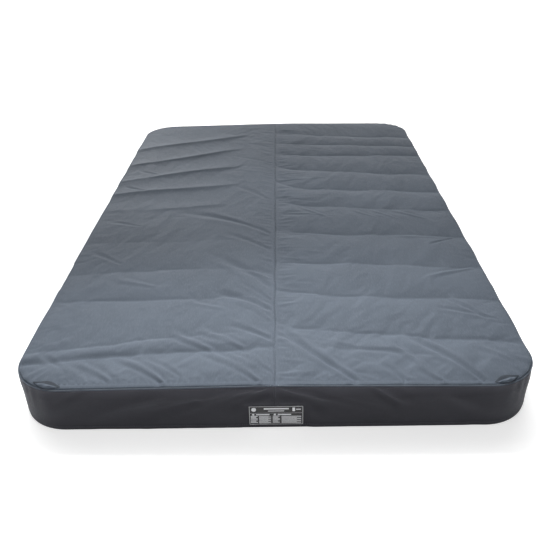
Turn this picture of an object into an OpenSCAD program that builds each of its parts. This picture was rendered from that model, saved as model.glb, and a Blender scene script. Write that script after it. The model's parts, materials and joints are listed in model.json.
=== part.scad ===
// Bifold spa cover for a swim spa. +X is to the right half, +Y runs along the cover,
// +Z is up, and the origin is on the floor under the middle of the centre seam.

/* [Cover] */
// Width across both halves, without the piping
cover_w = 2300; // [2000:10:2400]
// Length along the centre seam, without the piping
cover_l = 3750; // [3200:10:4200]
// Radius of the four plan corners
corner_r = 230; // [150:5:280]
// Height of the top over the floor at the centre seam
top_at_seam = 236; // [232:1:260]
// How much lower the top is at the long edges
top_fall = 15; // [5:1:25]
// Height of the underside over the hem, which is the skirt's drop
skirt_drop = 114; // [100:1:125]

/* [Layers] */
// Thickness of the top panel with its backing
panel_t = 3; // [2:0.5:4]
// Thickness of the side band
band_t = 3; // [2:0.5:4]
// Thickness of the underside liner
liner_t = 2; // [1:0.5:3]
// Thickness of the vapour barrier
film_t = 1; // [0.5:0.25:1.5]
// Radius of the piping
piping_r = 2.5; // [2:0.5:4]

/* [Core] */
// Foam planks in each half
planks = 10; // [10:1:10]
// Gap between neighbouring planks
plank_gap = 4; // [2:1:10]
// Height of a plank's crown over its long edges
plank_crown = 12; // [4:1:16]
// Flange width of the hinge-side channel
channel_flange = 40; // [25:1:60]
// Sheet thickness of the channel
channel_t = 2; // [1:0.5:2]
// How far the channel ends short of the cover's ends
channel_end = 60; // [30:5:120]

/* [Hinge] */
// Half of the gap between the two cores
hinge_gap = 20; // [20:1:30]

/* [Zip] */
// Distance of the zip's middle from the centre seam
zip_x = 60; // [55:1:90]
// Width of the zip tape
zip_tape_w = 30; // [24:1:36]
// Length of the zip
zip_l = 3380; // [2900:10:3400]

/* [Handles] */
// Distance of the handles from the middle, along the cover
handle_y = 900; // [500:10:1300]
// Outside width of a handle loop
handle_w = 210; // [150:5:260]
// Drop of a handle loop
handle_drop = 112; // [90:1:120]
// Width of the handle's webbing
handle_web = 38; // [25:1:50]

/* [Tie-downs] */
// Distance of the straps from the middle, along the cover
strap_y = 1150; // [600:10:1300]
// Free length of the strap's webbing
strap_l = 245; // [150:5:300]
// Width of the strap's webbing
strap_w = 38; // [25:1:50]
// Radius of a lock base's screw holes
screw_r = 2.4; // [1.5:0.1:3]
// Distance between a lock base's two screw holes
screw_pitch = 30; // [24:1:34]

/* [Label] */
// Width of the label
label_w = 238; // [150:1:240]
// Height of the label
label_h = 106; // [60:1:110]
// Height of the label's lower edge over the hem
label_z = 16; // [8:1:20]
// How far the label's middle is to the right of the seam
label_shift = 6; // [0:1:20]

/* [Hidden] */
SIDES = ["left", "right"];

$fn = 96;
half_w = cover_w / 2;
half_l = cover_l / 2;
tilt = atan(top_fall / half_w);
seam_gap = 0.5;          // from the centre plane to each half's fabric
panel_z = top_at_seam - panel_t;
side_gap = 1;            // between upright layers
layer_gap = 0.5;         // between level layers
film_x = hinge_gap + liner_t + side_gap;
film_inset = band_t + side_gap;
film_z = skirt_drop + liner_t + layer_gap;
film_top = panel_z - 0.6;  // clear of the top panel, which slopes as a whole
channel_x = film_x + film_t + side_gap;
plank_x = channel_x + channel_t + side_gap;
plank_z = film_z + film_t + layer_gap;
plank_inset = film_inset + film_t + layer_gap;
plank_top = film_top - film_t;
plank_pitch = (cover_l - 2 * plank_inset) / planks;
channel_top = plank_top - side_gap;
rebate = 0.3;            // room round the channel's flanges
wall_end = 10;           // the inner walls and the seal end this far inside the ends
tooth_h = 1.2;           // the zip's teeth stand this far below the liner
teeth_w = 4;
zip_clear = 0.3;         // between a zip's moving parts
grip_hole_r = 2.2;       // hole near the end of a zip pull
grip_hole_end = 5;
teeth_end = 10;          // the teeth end this far inside the tape
slider_y = zip_l / 2 - 40; // the closed zip's slider
slider_z = skirt_drop - tooth_h - zip_clear;
pull_z = slider_z - 6.5; // height of the bar that a zip pull turns on
web_t = 3;               // handle webbing
strap_t = 2.4;           // strap webbing
patch_t = 2;
handle_x = half_w + 1 + web_t / 2;
handle_z = 178;
patch_h = 29;            // webbing that is stitched down over a handle leg
strap_patch = [4, 64];   // heights between which a strap's end is stitched inside the band
strap_gap = 0.6;         // between a strap's hinge line and the patch over it
strap_x = half_w - band_t - patch_t - strap_gap;
buckle_l = 52;
buckle_w = 52;
clip_h = 14;             // height of both halves of the clip over the floor
frame_web = 6;           // plastic round a buckle's slots
floor_t = 4;             // plastic under the slots, and of the screw plate
buckle_slots = [[-20, -14], [-8, -3]];
tongue_l = 30;
tongue_w = 22;
tongue_z = [6, 10];
catch_r = 2;             // nubs at the sides of the tongue
catch_x = 8;             // from the tongue's end to its nubs
base_l = 84;
screw_x = 18;            // from the lock base's end to its screw holes
clip_gap = 0.4;          // between the closed halves of the clip
base_w = 50;
mouth_l = 44;            // length of the lock base's raised part
mouth_depth = 34;
mouth_room = 0.6;        // above and below the tongue
label_t = 1.2;
label_gap = 0.3;         // behind the label
seal_clear = 2;          // more room beside the seal where the folding half comes down
seal_drop = 6;           // the seal's top is this far below the top panels
pin_r = 1.2;             // the zip slider's bar, which the pull turns on
pull_r = 2.8;
pull_t = 2;
pull_w = 9;
pull_l = 34;
slider_l = 26;
slider_w = 12;
slider_t = 3;

function plank_name(side, i) = str(side, "_plank_", i < 10 ? "0" : "", i);
// Corner number k: 1 left front, 2 right front, 3 left back, 4 right back
function corner_sx(k) = k % 2 == 1 ? -1 : 1;
function corner_sy(k) = k < 3 ? -1 : 1;

// Everything of a half is drawn on the right side, and the left one is its mirror image.
module on_side(side) {
    mirror([side == "left" ? 1 : 0, 0, 0]) children();
}

// A box between two corners
module block(a, b) {
    translate(a) cube(b - a);
}

// Plan outline of the right half, pulled in all round, from x0 outwards
module half_outline(inset, x0) {
    r = corner_r - inset;
    x1 = half_w - inset;
    y1 = half_l - inset;
    union() {
        translate([x0, -y1]) square([x1 - r - x0, 2 * y1]);
        translate([x0, r - y1]) square([x1 - x0, 2 * (y1 - r)]);
        for (s = [-1, 1]) translate([x1 - r, s * (y1 - r)]) circle(r = r, $fn = 192);
    }
}

// Solid of the right half between a floor height and the sloping top
module half_prism(inset, x0, z0, top) {
    intersection() {
        translate([0, 0, z0]) linear_extrude(top - z0 + 1) half_outline(inset, x0);
        rotate([90, 0, 0]) linear_extrude(cover_l + 20, center = true)
            polygon([[-5, 0], [half_w + 50, 0], [half_w + 50, top - (half_w + 50) * tan(tilt)],
                [-5, top + 5 * tan(tilt)]]);
    }
}

module top_panel(side) {
    color("slategray") on_side(side)
        translate([0, 0, panel_z]) rotate([0, tilt, 0])
            linear_extrude(panel_t) half_outline(0, seam_gap + 0.1);
}

module side_band(side) {
    color("dimgray") on_side(side) difference() {
        half_prism(0, seam_gap, 0, panel_z - 0.1);
        translate([0, 0, -1]) linear_extrude(top_at_seam + 10)
            half_outline(band_t, seam_gap - 1);
    }
}

module piping(side) {
    run_x = half_w - corner_r;
    run_y = half_l - corner_r;
    out = piping_r + 0.4;
    start = 1;
    color("darkslategray") on_side(side)
        translate([0, 0, panel_z - 0.5]) rotate([0, tilt, 0]) union() {
            for (s = [-1, 1]) {
                translate([start, s * (half_l + out), 0]) rotate([0, 90, 0])
                    cylinder(r = piping_r, h = run_x - start, $fn = 24);
                translate([run_x, s * run_y, 0]) rotate([0, 0, s == 1 ? 0 : -90])
                    rotate_extrude(angle = 90)
                        translate([corner_r + out, 0]) circle(r = piping_r, $fn = 24);
            }
            translate([half_w + out, run_y, 0]) rotate([90, 0, 0])
                cylinder(r = piping_r, h = 2 * run_y, $fn = 24);
        }
}

module vapour_barrier(side) {
    color("white") on_side(side) difference() {
        half_prism(film_inset, film_x, film_z, film_top);
        half_prism(film_inset + film_t, film_x + film_t, film_z + film_t, plank_top);
    }
}

module channel(side) {
    y1 = half_l - channel_end;
    x1 = channel_x + channel_flange;
    color("silver") on_side(side) difference() {
        block([channel_x, -y1, plank_z], [x1, y1, channel_top]);
        block([channel_x + channel_t, -y1 - 1, plank_z + channel_t],
            [x1 + 1, y1 + 1, channel_top - channel_t]);
    }
}

module plank(side, i) {
    w = plank_pitch - plank_gap;
    y = (i - (planks + 1) / 2) * plank_pitch;
    crown_r = (pow(w / 2, 2) + pow(plank_crown, 2)) / (2 * plank_crown);
    flange_x = channel_x + channel_flange + rebate;
    color("whitesmoke") on_side(side) difference() {
        intersection() {
            half_prism(plank_inset, plank_x, plank_z, plank_top);
            block([0, y - w / 2, 0], [half_w, y + w / 2, top_at_seam + 10]);
            translate([-60, y, plank_top - crown_r + 60 * tan(tilt)]) rotate([0, 90 + tilt, 0])
                cylinder(r = crown_r, h = half_w + 120, $fn = 720);
        }
        block([0, -half_l, 0], [flange_x, half_l, plank_z + channel_t + rebate]);
        block([0, -half_l, channel_top - channel_t - rebate], [flange_x, half_l, top_at_seam]);
    }
}

// The underside and the wall that faces the other half, with a slot for the zip
module liner(side) {
    color("black") on_side(side) difference() {
        union() {
            translate([0, 0, skirt_drop]) linear_extrude(liner_t)
                half_outline(band_t, hinge_gap);
            block([hinge_gap, -(half_l - wall_end), skirt_drop],
                [hinge_gap + liner_t, half_l - wall_end, panel_z - liner_t]);
        }
        block([zip_x - zip_tape_w / 2, -zip_l / 2, skirt_drop - 1],
            [zip_x + zip_tape_w / 2, zip_l / 2, skirt_drop + liner_t + 1]);
    }
}

module zip(side) {
    color("gray") on_side(side) union() {
        block([zip_x - zip_tape_w / 2, -zip_l / 2, skirt_drop],
            [zip_x + zip_tape_w / 2, zip_l / 2, skirt_drop + liner_t]);
        block([zip_x - teeth_w / 2, teeth_end - zip_l / 2, skirt_drop - tooth_h],
            [zip_x + teeth_w / 2, zip_l / 2 - teeth_end, skirt_drop + liner_t / 4]);
    }
}

// The slider's plate hangs under the teeth between two rails, and its bar under two lugs.
module zip_slider(side) {
    rail_x = 4.2;
    rail_w = 3.6;
    lug_x = 4.5;
    lug_w = 3;
    lug_l = 5;
    color("gold") on_side(side) translate([zip_x, slider_y, 0]) union() {
        block([-slider_w / 2, -slider_l / 2, slider_z - slider_t], [slider_w / 2, slider_l / 2, slider_z]);
        for (s = [-1, 1]) {
            block([s * rail_x - rail_w / 2, -slider_l / 2, slider_z - slider_t / 2],
                [s * rail_x + rail_w / 2, slider_l / 2, skirt_drop - zip_clear]);
            block([s * lug_x - lug_w / 2, -lug_l / 2, pull_z - lug_l / 2],
                [s * lug_x + lug_w / 2, lug_l / 2, slider_z - slider_t / 2]);
        }
        translate([-lug_x, 0, pull_z]) rotate([0, 90, 0]) cylinder(r = pin_r, h = 2 * lug_x, $fn = 32);
    }
}

module zip_pull(side) {
    eye_w = 5;
    neck_l = 8;
    color("gold") on_side(side) translate([zip_x, slider_y, pull_z]) difference() {
        union() {
            rotate([0, 90, 0]) cylinder(r = pull_r, h = eye_w, center = true, $fn = 32);
            block([-eye_w / 2, -pull_t / 2, -neck_l], [eye_w / 2, pull_t / 2, 0]);
            block([-pull_w / 2, -pull_t / 2, -pull_l], [pull_w / 2, pull_t / 2, 1 - neck_l]);
        }
        rotate([0, 90, 0]) cylinder(r = pin_r + zip_clear, h = 2 * pull_w, center = true, $fn = 32);
        translate([0, 0, grip_hole_end - pull_l]) rotate([90, 0, 0])
            cylinder(r = grip_hole_r, h = 2 * pull_w, center = true, $fn = 32);
    }
}

module hinge_seal() {
    color("dimgray") block([-hinge_gap + seam_gap, -(half_l - wall_end), plank_z],
        [hinge_gap - seam_gap - seal_clear, half_l - wall_end, panel_z - seal_drop]);
}

module label() {
    color("black") translate([label_shift, -half_l - label_gap - label_t, label_z])
        block([-label_w / 2, 0, 0], [label_w / 2, label_t, label_h]);
}

// Loop k hangs from its hinge line, flat against the side band.
module handle(k) {
    h = handle_web;
    w = handle_w / 2;
    color("black") mirror([corner_sx(k) < 0 ? 1 : 0, 0, 0])
        translate([handle_x, corner_sy(k) * handle_y, handle_z]) union() {
            for (s = [-1, 1]) translate([0, s * (w - h / 2), 0]) {
                rotate([90, 0, 0]) cylinder(r = web_t / 2, h = h, center = true, $fn = 32);
                block([-web_t / 2, -h / 2, -handle_drop], [web_t / 2, h / 2, 0]);
            }
            block([-web_t / 2, -w, -handle_drop], [web_t / 2, w, -handle_drop + h]);
        }
}

// Strap k lies on the floor under the cover, inwards from its hinge line at the hem.
module strap(k) {
    color("black") mirror([corner_sx(k) < 0 ? 1 : 0, 0, 0])
        translate([strap_x, corner_sy(k) * strap_y, strap_t / 2]) union() {
            rotate([90, 0, 0])
                cylinder(r = strap_t / 2, h = strap_w, center = true, $fn = 32);
            block([-strap_l, -strap_w / 2, -strap_t / 2], [0, strap_w / 2, strap_t / 2]);
        }
}

module buckle(k) {
    color("darkslategray") mirror([corner_sx(k) < 0 ? 1 : 0, 0, 0])
        translate([strap_x - strap_l, corner_sy(k) * strap_y, 0]) union() {
            difference() {
                block([-buckle_l, -buckle_w / 2, 0], [0, buckle_w / 2, clip_h]);
                for (slot = buckle_slots)
                    block([slot[0], frame_web - buckle_w / 2, floor_t],
                        [slot[1], buckle_w / 2 - frame_web, clip_h + 1]);
            }
            block([-buckle_l - tongue_l, -tongue_w / 2, tongue_z[0]],
                [1 - buckle_l, tongue_w / 2, tongue_z[1]]);
            for (s = [-1, 1])
                translate([catch_x - buckle_l - tongue_l, s * tongue_w / 2, tongue_z[0]])
                    cylinder(r = catch_r, h = tongue_z[1] - tongue_z[0], $fn = 32);
        }
}

// The female half of the clip, with two screw holes in its plate
module lock_base(k) {
    color("darkslategray") mirror([corner_sx(k) < 0 ? 1 : 0, 0, 0])
        translate([strap_x - strap_l - buckle_l - clip_gap, corner_sy(k) * strap_y, 0])
            difference() {
                union() {
                    block([-base_l, -base_w / 2, 0], [0, base_w / 2, floor_t]);
                    block([-mouth_l, -base_w / 2, floor_t - 1], [0, base_w / 2, clip_h]);
                }
                block([-mouth_depth, -tongue_w / 2 - catch_r - 1, tongue_z[0] - mouth_room],
                    [1, tongue_w / 2 + catch_r + 1, tongue_z[1] + mouth_room]);
                for (s = [-1, 1]) translate([screw_x - base_l, s * screw_pitch / 2, -1])
                    cylinder(r = screw_r, h = floor_t + 2, $fn = 32);
            }
}

// Stitched-down webbing ends: above each handle leg outside, above each strap inside
module sewn_patches(side) {
    leg_y = (handle_w - handle_web) / 2;
    color("black") on_side(side) for (s = [-1, 1]) {
        for (leg = [-1, 1]) translate([0, s * handle_y + leg * leg_y, 0])
            block([half_w, -handle_web / 2, handle_z + web_t],
                [half_w + patch_t, handle_web / 2, handle_z + web_t + patch_h]);
        translate([0, s * strap_y, 0])
            block([half_w - band_t - patch_t, -strap_w / 2, strap_patch[0]],
                [half_w - band_t, strap_w / 2, strap_patch[1]]);
    }
}

for (s = SIDES, i = [1:planks])
    plank(s, i);
for (s = SIDES) {
    top_panel(s);
    side_band(s);
    piping(s);
    vapour_barrier(s);
    channel(s);
    liner(s);
    zip(s);
    zip_slider(s);
    zip_pull(s);
    sewn_patches(s);
}
for (k = [1:4]) {
    handle(k);
    strap(k);
    buckle(k);
    lock_base(k);
}
hinge_seal();
label();
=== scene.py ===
"""The looks of a bifold spa cover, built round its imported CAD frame.

Metres throughout. +X is to the right half, +Y along the cover, +Z up, and the origin is on the
floor under the middle of the centre seam.
"""
import json
import math

import bpy
import numpy as np
from mathutils import Matrix, Vector


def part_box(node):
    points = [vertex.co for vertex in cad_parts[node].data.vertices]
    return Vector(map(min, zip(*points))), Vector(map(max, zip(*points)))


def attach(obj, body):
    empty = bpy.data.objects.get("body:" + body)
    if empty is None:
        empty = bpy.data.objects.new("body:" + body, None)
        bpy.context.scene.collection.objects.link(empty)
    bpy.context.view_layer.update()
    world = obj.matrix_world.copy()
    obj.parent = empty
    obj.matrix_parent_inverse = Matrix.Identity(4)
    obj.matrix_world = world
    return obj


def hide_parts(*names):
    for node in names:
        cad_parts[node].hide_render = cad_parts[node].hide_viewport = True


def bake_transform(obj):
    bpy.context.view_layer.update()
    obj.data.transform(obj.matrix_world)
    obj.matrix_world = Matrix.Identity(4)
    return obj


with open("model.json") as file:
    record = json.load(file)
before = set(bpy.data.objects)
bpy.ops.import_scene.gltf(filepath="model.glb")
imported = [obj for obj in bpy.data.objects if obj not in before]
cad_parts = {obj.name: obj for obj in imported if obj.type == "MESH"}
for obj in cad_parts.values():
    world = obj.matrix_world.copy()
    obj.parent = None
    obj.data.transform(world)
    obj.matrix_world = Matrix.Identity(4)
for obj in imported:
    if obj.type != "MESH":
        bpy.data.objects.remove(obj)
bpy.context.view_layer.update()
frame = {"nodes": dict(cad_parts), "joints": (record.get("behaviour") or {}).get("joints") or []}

# ---- sizes, all from the frame

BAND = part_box("right_side_band")
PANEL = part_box("right_top_panel")
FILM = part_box("right_vapour_barrier")
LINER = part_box("right_liner")
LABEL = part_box("label")
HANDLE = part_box("handle_2")
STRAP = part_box("strap_4")
HALF_W = BAND[1].x
HALF_L = BAND[1].y
SKIRT_TOP = BAND[1].z
PANEL_THICK = 0.003
# How fast the top falls from the fold to the long edges
SLOPE = (PANEL[1].z - PANEL[0].z - PANEL_THICK) / HALF_W
PANEL_XY = np.array([v.co[:2] for v in frame["nodes"]["right_top_panel"].data.vertices])
CORNER_R = HALF_W - PANEL_XY[PANEL_XY[:, 1] > HALF_L - 1e-4][:, 0].max()
FILM_TOP = FILM[1].z + SLOPE * FILM[0].x
FOLD_Z = next(j for j in frame["joints"] if j["name"] == "centre_fold")["pos_m"][2]
HANDLE_Y = abs(HANDLE[0].y + HANDLE[1].y) / 2
PLANK_PITCH = 2 * HALF_L / 10
HALVES = (("left", -1), ("right", 1))

WELT_R = 0.0025         # the welt's cord
WELT_DROP = 0.0005      # the welt's middle under the vapour barrier's top
WEB_W = 0.038           # width of the handles' and straps' webbing
STITCH_PITCH = 0.0085   # one stitch to the next
STITCH_L = 0.0058       # length of one stitch
THREAD_R = 0.0007       # radius of the thread

# ---- small tools


def ease(t):
    """A smooth step from 0 to 1 while t goes from 0 to 1."""
    t = np.clip(t, 0, 1)
    return t * t * (3 - 2 * t)


def value_noise(x, y, size, seed):
    """Smooth noise from -1 to 1 over the plane, the same on each run. size is its grain in metres."""
    rng = np.random.default_rng(seed)
    n = 128
    lattice = rng.uniform(-1, 1, (n, n))
    gx, gy = np.asarray(x) / size + 31.7, np.asarray(y) / size + 57.3
    ix, iy = np.floor(gx).astype(int), np.floor(gy).astype(int)
    fx, fy = ease(gx - ix), ease(gy - iy)
    a = lattice[ix % n, iy % n] * (1 - fx) + lattice[(ix + 1) % n, iy % n] * fx
    b = lattice[ix % n, (iy + 1) % n] * (1 - fx) + lattice[(ix + 1) % n, (iy + 1) % n] * fx
    return a * (1 - fy) + b * fy


def new_object(name, data):
    obj = bpy.data.objects.new(name, data)
    bpy.context.scene.collection.objects.link(obj)
    return obj


def new_mesh(name, verts, faces, material=None, smooth=True):
    mesh = bpy.data.meshes.new(name)
    mesh.from_pydata([tuple(map(float, v)) for v in verts], [], [tuple(map(int, f)) for f in faces])
    mesh.validate()
    if material is not None:
        mesh.materials.append(material)
    mesh.polygons.foreach_set("use_smooth", [smooth] * len(mesh.polygons))
    return new_object(name, mesh)


def grid_faces(rows, cols, close=False):
    """Quads over rows of cols points each; close joins the last column to the first."""
    faces = []
    for a in range(0, (rows - 1) * cols, cols):
        for c in range(cols if close else cols - 1):
            d = (c + 1) % cols
            faces.append((a + c, a + d, a + cols + d, a + cols + c))
    return faces


def tube_faces(rings, sides):
    """Quads round a row of closed rings, with a cap at each end."""
    last = (rings - 1) * sides
    caps = [tuple(range(sides))[::-1], tuple(last + k for k in range(sides))]
    return grid_faces(rings, sides, close=True) + caps


def grid_rim(rows, cols):
    """Indices once round the border of a grid of points."""
    last = (rows - 1) * cols
    rim = list(range(cols)) + list(range(2 * cols - 1, rows * cols, cols))
    return rim + list(range(last + cols - 2, last - 1, -1)) + list(range(last - cols, 0, -cols))


def place(x, y, z):
    """Points from their coordinates, each one a number or an array."""
    return np.stack(np.broadcast_arrays(x, y, z), -1).astype(float)


def moved_out(p, n, out, z):
    """Points at height z, moved out from outline points p along their normals n."""
    return place(p[:, 0] + n[:, 0] * out, p[:, 1] + n[:, 1] * out, z)


def welt_z(x):
    """Height of the welt's middle where it passes over x."""
    return FILM_TOP - WELT_DROP - SLOPE * abs(x)


def half_outline(side, step):
    """Points and outward normals along a half's edge, from the front seam round to the back seam."""
    w, l, r = HALF_W, HALF_L, CORNER_R
    points, normals = [], []

    def straight(a, b, n):
        count = max(2, int(round(math.dist(a, b) / step)))
        for i in range(count):
            t = i / count
            points.append((a[0] + (b[0] - a[0]) * t, a[1] + (b[1] - a[1]) * t))
            normals.append(n)

    def arc(cx, cy, from_deg):
        count = max(6, int(round(math.pi / 2 * r / step)))
        for i in range(count):
            t = math.radians(from_deg + 90 * i / count)
            points.append((cx + r * math.cos(t), cy + r * math.sin(t)))
            normals.append((math.cos(t), math.sin(t)))

    straight((0, -l), (w - r, -l), (0, -1))
    arc(w - r, -l + r, -90)
    straight((w, -l + r), (w, l - r), (1, 0))
    arc(w - r, l - r, 0)
    straight((w - r, l), (0, l), (0, 1))
    points.append((0, l))
    normals.append((0, 1))
    p, n = np.array(points), np.array(normals, float)
    p[:, 0] *= side
    n[:, 0] *= side
    return p, n


# ---- materials

CLOTH_SHINE = 0.06      # mirror shine of cloth, where 0.5 is that of plastic


class Nodes:
    """Short names for building the nodes of a material or of the world."""

    def __init__(self, owner, shader, coords):
        owner.use_nodes = True
        self.tree = owner.node_tree
        self.shader = self.tree.nodes[shader]
        self.coords = self.tree.nodes.new("ShaderNodeTexCoord").outputs[coords]

    def feed(self, socket, value):
        """Links an output to the socket, or sets a number, a vector or a colour on it."""
        if isinstance(value, bpy.types.NodeSocket):
            self.tree.links.new(value, socket)
        elif socket.type == "RGBA":
            socket.default_value = (*value, 1)
        else:
            socket.default_value = value

    def set(self, **values):
        """Feeds inputs of the shader. A name's spaces are given as underscores."""
        for key, value in values.items():
            self.feed(self.shader.inputs[key.replace("_", " ")], value)

    def add(self, kind, **values):
        """A new node with its inputs fed, and its own settings set."""
        node = self.tree.nodes.new(kind)
        for key, value in values.items():
            if key in node.inputs:
                self.feed(node.inputs[key], value)
            else:
                setattr(node, key, value)
        return node

    def noise(self, scale, detail=3, rough=0.5, stretch=(1, 1, 1)):
        stretched = self.add("ShaderNodeMapping", Vector=self.coords, Scale=stretch)
        node = self.add("ShaderNodeTexNoise", Vector=stretched.outputs["Vector"], Scale=scale,
                        Detail=detail, Roughness=rough)
        return node.outputs["Fac"]

    def weave(self, pitch):
        """Crossed threads of that pitch: a wave along each axis, added up."""
        outs = []
        for axis in "XYZ":
            wave = self.add("ShaderNodeTexWave", wave_type="BANDS", bands_direction=axis,
                            wave_profile="SIN", Scale=math.pi / (10 * pitch), Distortion=0.35,
                            Detail=1, Vector=self.coords)
            outs.append(wave.outputs["Fac"])
        return self.math("ADD", self.math("ADD", outs[0], outs[1]), outs[2])

    def math(self, operation, a, b):
        node = self.add("ShaderNodeMath", operation=operation)
        self.feed(node.inputs[0], a)
        self.feed(node.inputs[1], b)
        return node.outputs[0]

    def mix(self, fac, a, b):
        """Colour a where fac is 0, and b where it is 1."""
        node = self.add("ShaderNodeMix", data_type="RGBA", Factor=fac)
        for socket, value in zip((s for s in node.inputs if s.type == "RGBA"), (a, b)):
            self.feed(socket, value)
        return next(s for s in node.outputs if s.type == "RGBA")

    def remap(self, fac, **limits):
        return self.add("ShaderNodeMapRange", Value=fac, **limits).outputs["Result"]

    def ramp(self, fac, low, high):
        """Takes low..high of fac to 0..1."""
        return self.remap(fac, **{"From Min": low, "From Max": high})

    def colour(self, out):
        self.set(Base_Color=out)

    def rough(self, fac, low, high):
        """Roughness from low to high where fac goes from 0 to 1."""
        self.set(Roughness=self.remap(fac, **{"To Min": low, "To Max": high}))

    def bump(self, height, distance, strength=1.0, **after):
        """A bump from height. after may hold the Normal of another bump to add it to."""
        node = self.add("ShaderNodeBump", Strength=strength, Distance=distance, Height=height, **after)
        self.set(Normal=node.outputs["Normal"])
        return node.outputs["Normal"]

    def sheen(self, weight, rough, tint):
        """The soft edge light of cloth, which has next to no mirror shine."""
        self.set(Specular_IOR_Level=CLOTH_SHINE, Sheen_Weight=weight, Sheen_Roughness=rough,
                 Sheen_Tint=tint)


class Material(Nodes):
    """A new material. Its nodes take the place of the plain numbers given here."""

    def __init__(self, name, rough=0.7, metallic=0.0):
        self.material = bpy.data.materials.new(name)
        super().__init__(self.material, "Principled BSDF", "Object")
        self.set(Roughness=rough, Metallic=metallic)


def shade(colour, factor):
    """A colour made darker or lighter."""
    return tuple(c * factor for c in colour)


def cloth_material(name, colour, pitch=0.0012, sheen=0.15, rough=(0.62, 0.8), worn=0.12, depth=0.00025,
                   painted_top_light=None):
    """Coated woven cloth: thread bump, slubs, cloudy colour and lighter rubbed patches.

    The last argument gives two heights between which the cloth is painted paler towards the top:
    painted light on the upper band.
    """
    m = Material(name)
    threads = m.weave(pitch)
    clouds = m.noise(3.2, 4, 0.55)
    slubs = m.noise(260, 2, 0.5, (1, 0.15, 1))
    rubbed = m.ramp(m.noise(11, 5, 0.6), 0.58, 0.8)
    base = m.mix(m.ramp(clouds, 0.3, 0.7), shade(colour, 0.93), shade(colour, 1.07))
    base = m.mix(m.ramp(slubs, 0.45, 0.75), base, shade(colour, 1.16))
    base = m.mix(m.math("MULTIPLY", rubbed, worn), base, shade(colour, 1.5))
    m.colour(base)
    m.rough(m.noise(45, 3), *rough)
    # Paler towards the top between the two heights: painted light on the upper band.
    if painted_top_light is not None:
        height = m.add("ShaderNodeSeparateXYZ", Vector=m.coords).outputs["Z"]
        uneven = m.math("MULTIPLY", m.noise(6, 3), 0.030)
        painted_light_share = m.ramp(m.math("ADD", height, uneven), *painted_top_light)
        m.colour(m.mix(m.math("MULTIPLY", painted_light_share, 0.8), base, shade(colour, 2.1)))
    n = m.bump(threads, depth, 0.5)
    m.bump(m.noise(90, 3, 0.6), 0.0006, 0.35, Normal=n)
    m.sheen(sheen, 0.45, (0.85, 0.9, 1.0))
    return m.material


def film_material(name, colour):
    """Crumpled plastic film."""
    m = Material(name, 0.35)
    m.colour(m.mix(m.noise(14, 4), shade(colour, 0.92), colour))
    m.bump(m.noise(30, 5, 0.65), 0.002, 0.6)
    return m.material


def foam_material(name, colour):
    """Expanded bead foam: round cells a few millimetres across."""
    m = Material(name, 0.85)
    cells = m.add("ShaderNodeTexVoronoi", Scale=260, feature="DISTANCE_TO_EDGE", Vector=m.coords)
    edge = m.ramp(cells.outputs["Distance"], 0.0, 0.12)
    m.colour(m.mix(edge, shade(colour, 0.8), colour))
    m.bump(edge, 0.0004, 0.6)
    return m.material


def metal_material(name, colour, rough=0.35):
    """Drawn metal, with its grain along the cover."""
    m = Material(name, rough, 1.0)
    grain = m.noise(120, 3, 0.6, (8, 0.4, 8))
    m.colour(m.mix(grain, shade(colour, 0.82), colour))
    m.rough(grain, rough - 0.06, rough + 0.14)
    m.bump(grain, 0.0001, 0.4)
    return m.material


def plastic_material(name, colour, rough=0.42):
    """Moulded plastic: fine spark texture, slight scuffs."""
    m = Material(name, rough)
    scuffs = m.ramp(m.noise(70, 6, 0.7, (1, 5, 1)), 0.62, 0.75)
    m.colour(m.mix(m.math("MULTIPLY", scuffs, 0.3), colour, shade(colour, 2.2)))
    m.rough(m.noise(300, 2), rough - 0.05, rough + 0.12)
    m.bump(m.noise(900, 2), 0.0001, 0.5)
    return m.material


def webbing_material(name, colour):
    """Ribbed narrow weave."""
    m = Material(name, 0.75)
    ribs = m.weave(0.0016)
    m.colour(m.mix(m.ramp(ribs, 0.8, 2.0), shade(colour, 0.6), shade(colour, 1.4)))
    m.bump(ribs, 0.0004, 0.8)
    m.sheen(0.2, 0.5, (0.9, 0.9, 1.0))
    return m.material


TOP_COLOUR = (0.068, 0.0815, 0.1015)
SKIRT_COLOUR = (0.026, 0.026, 0.031)

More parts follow.
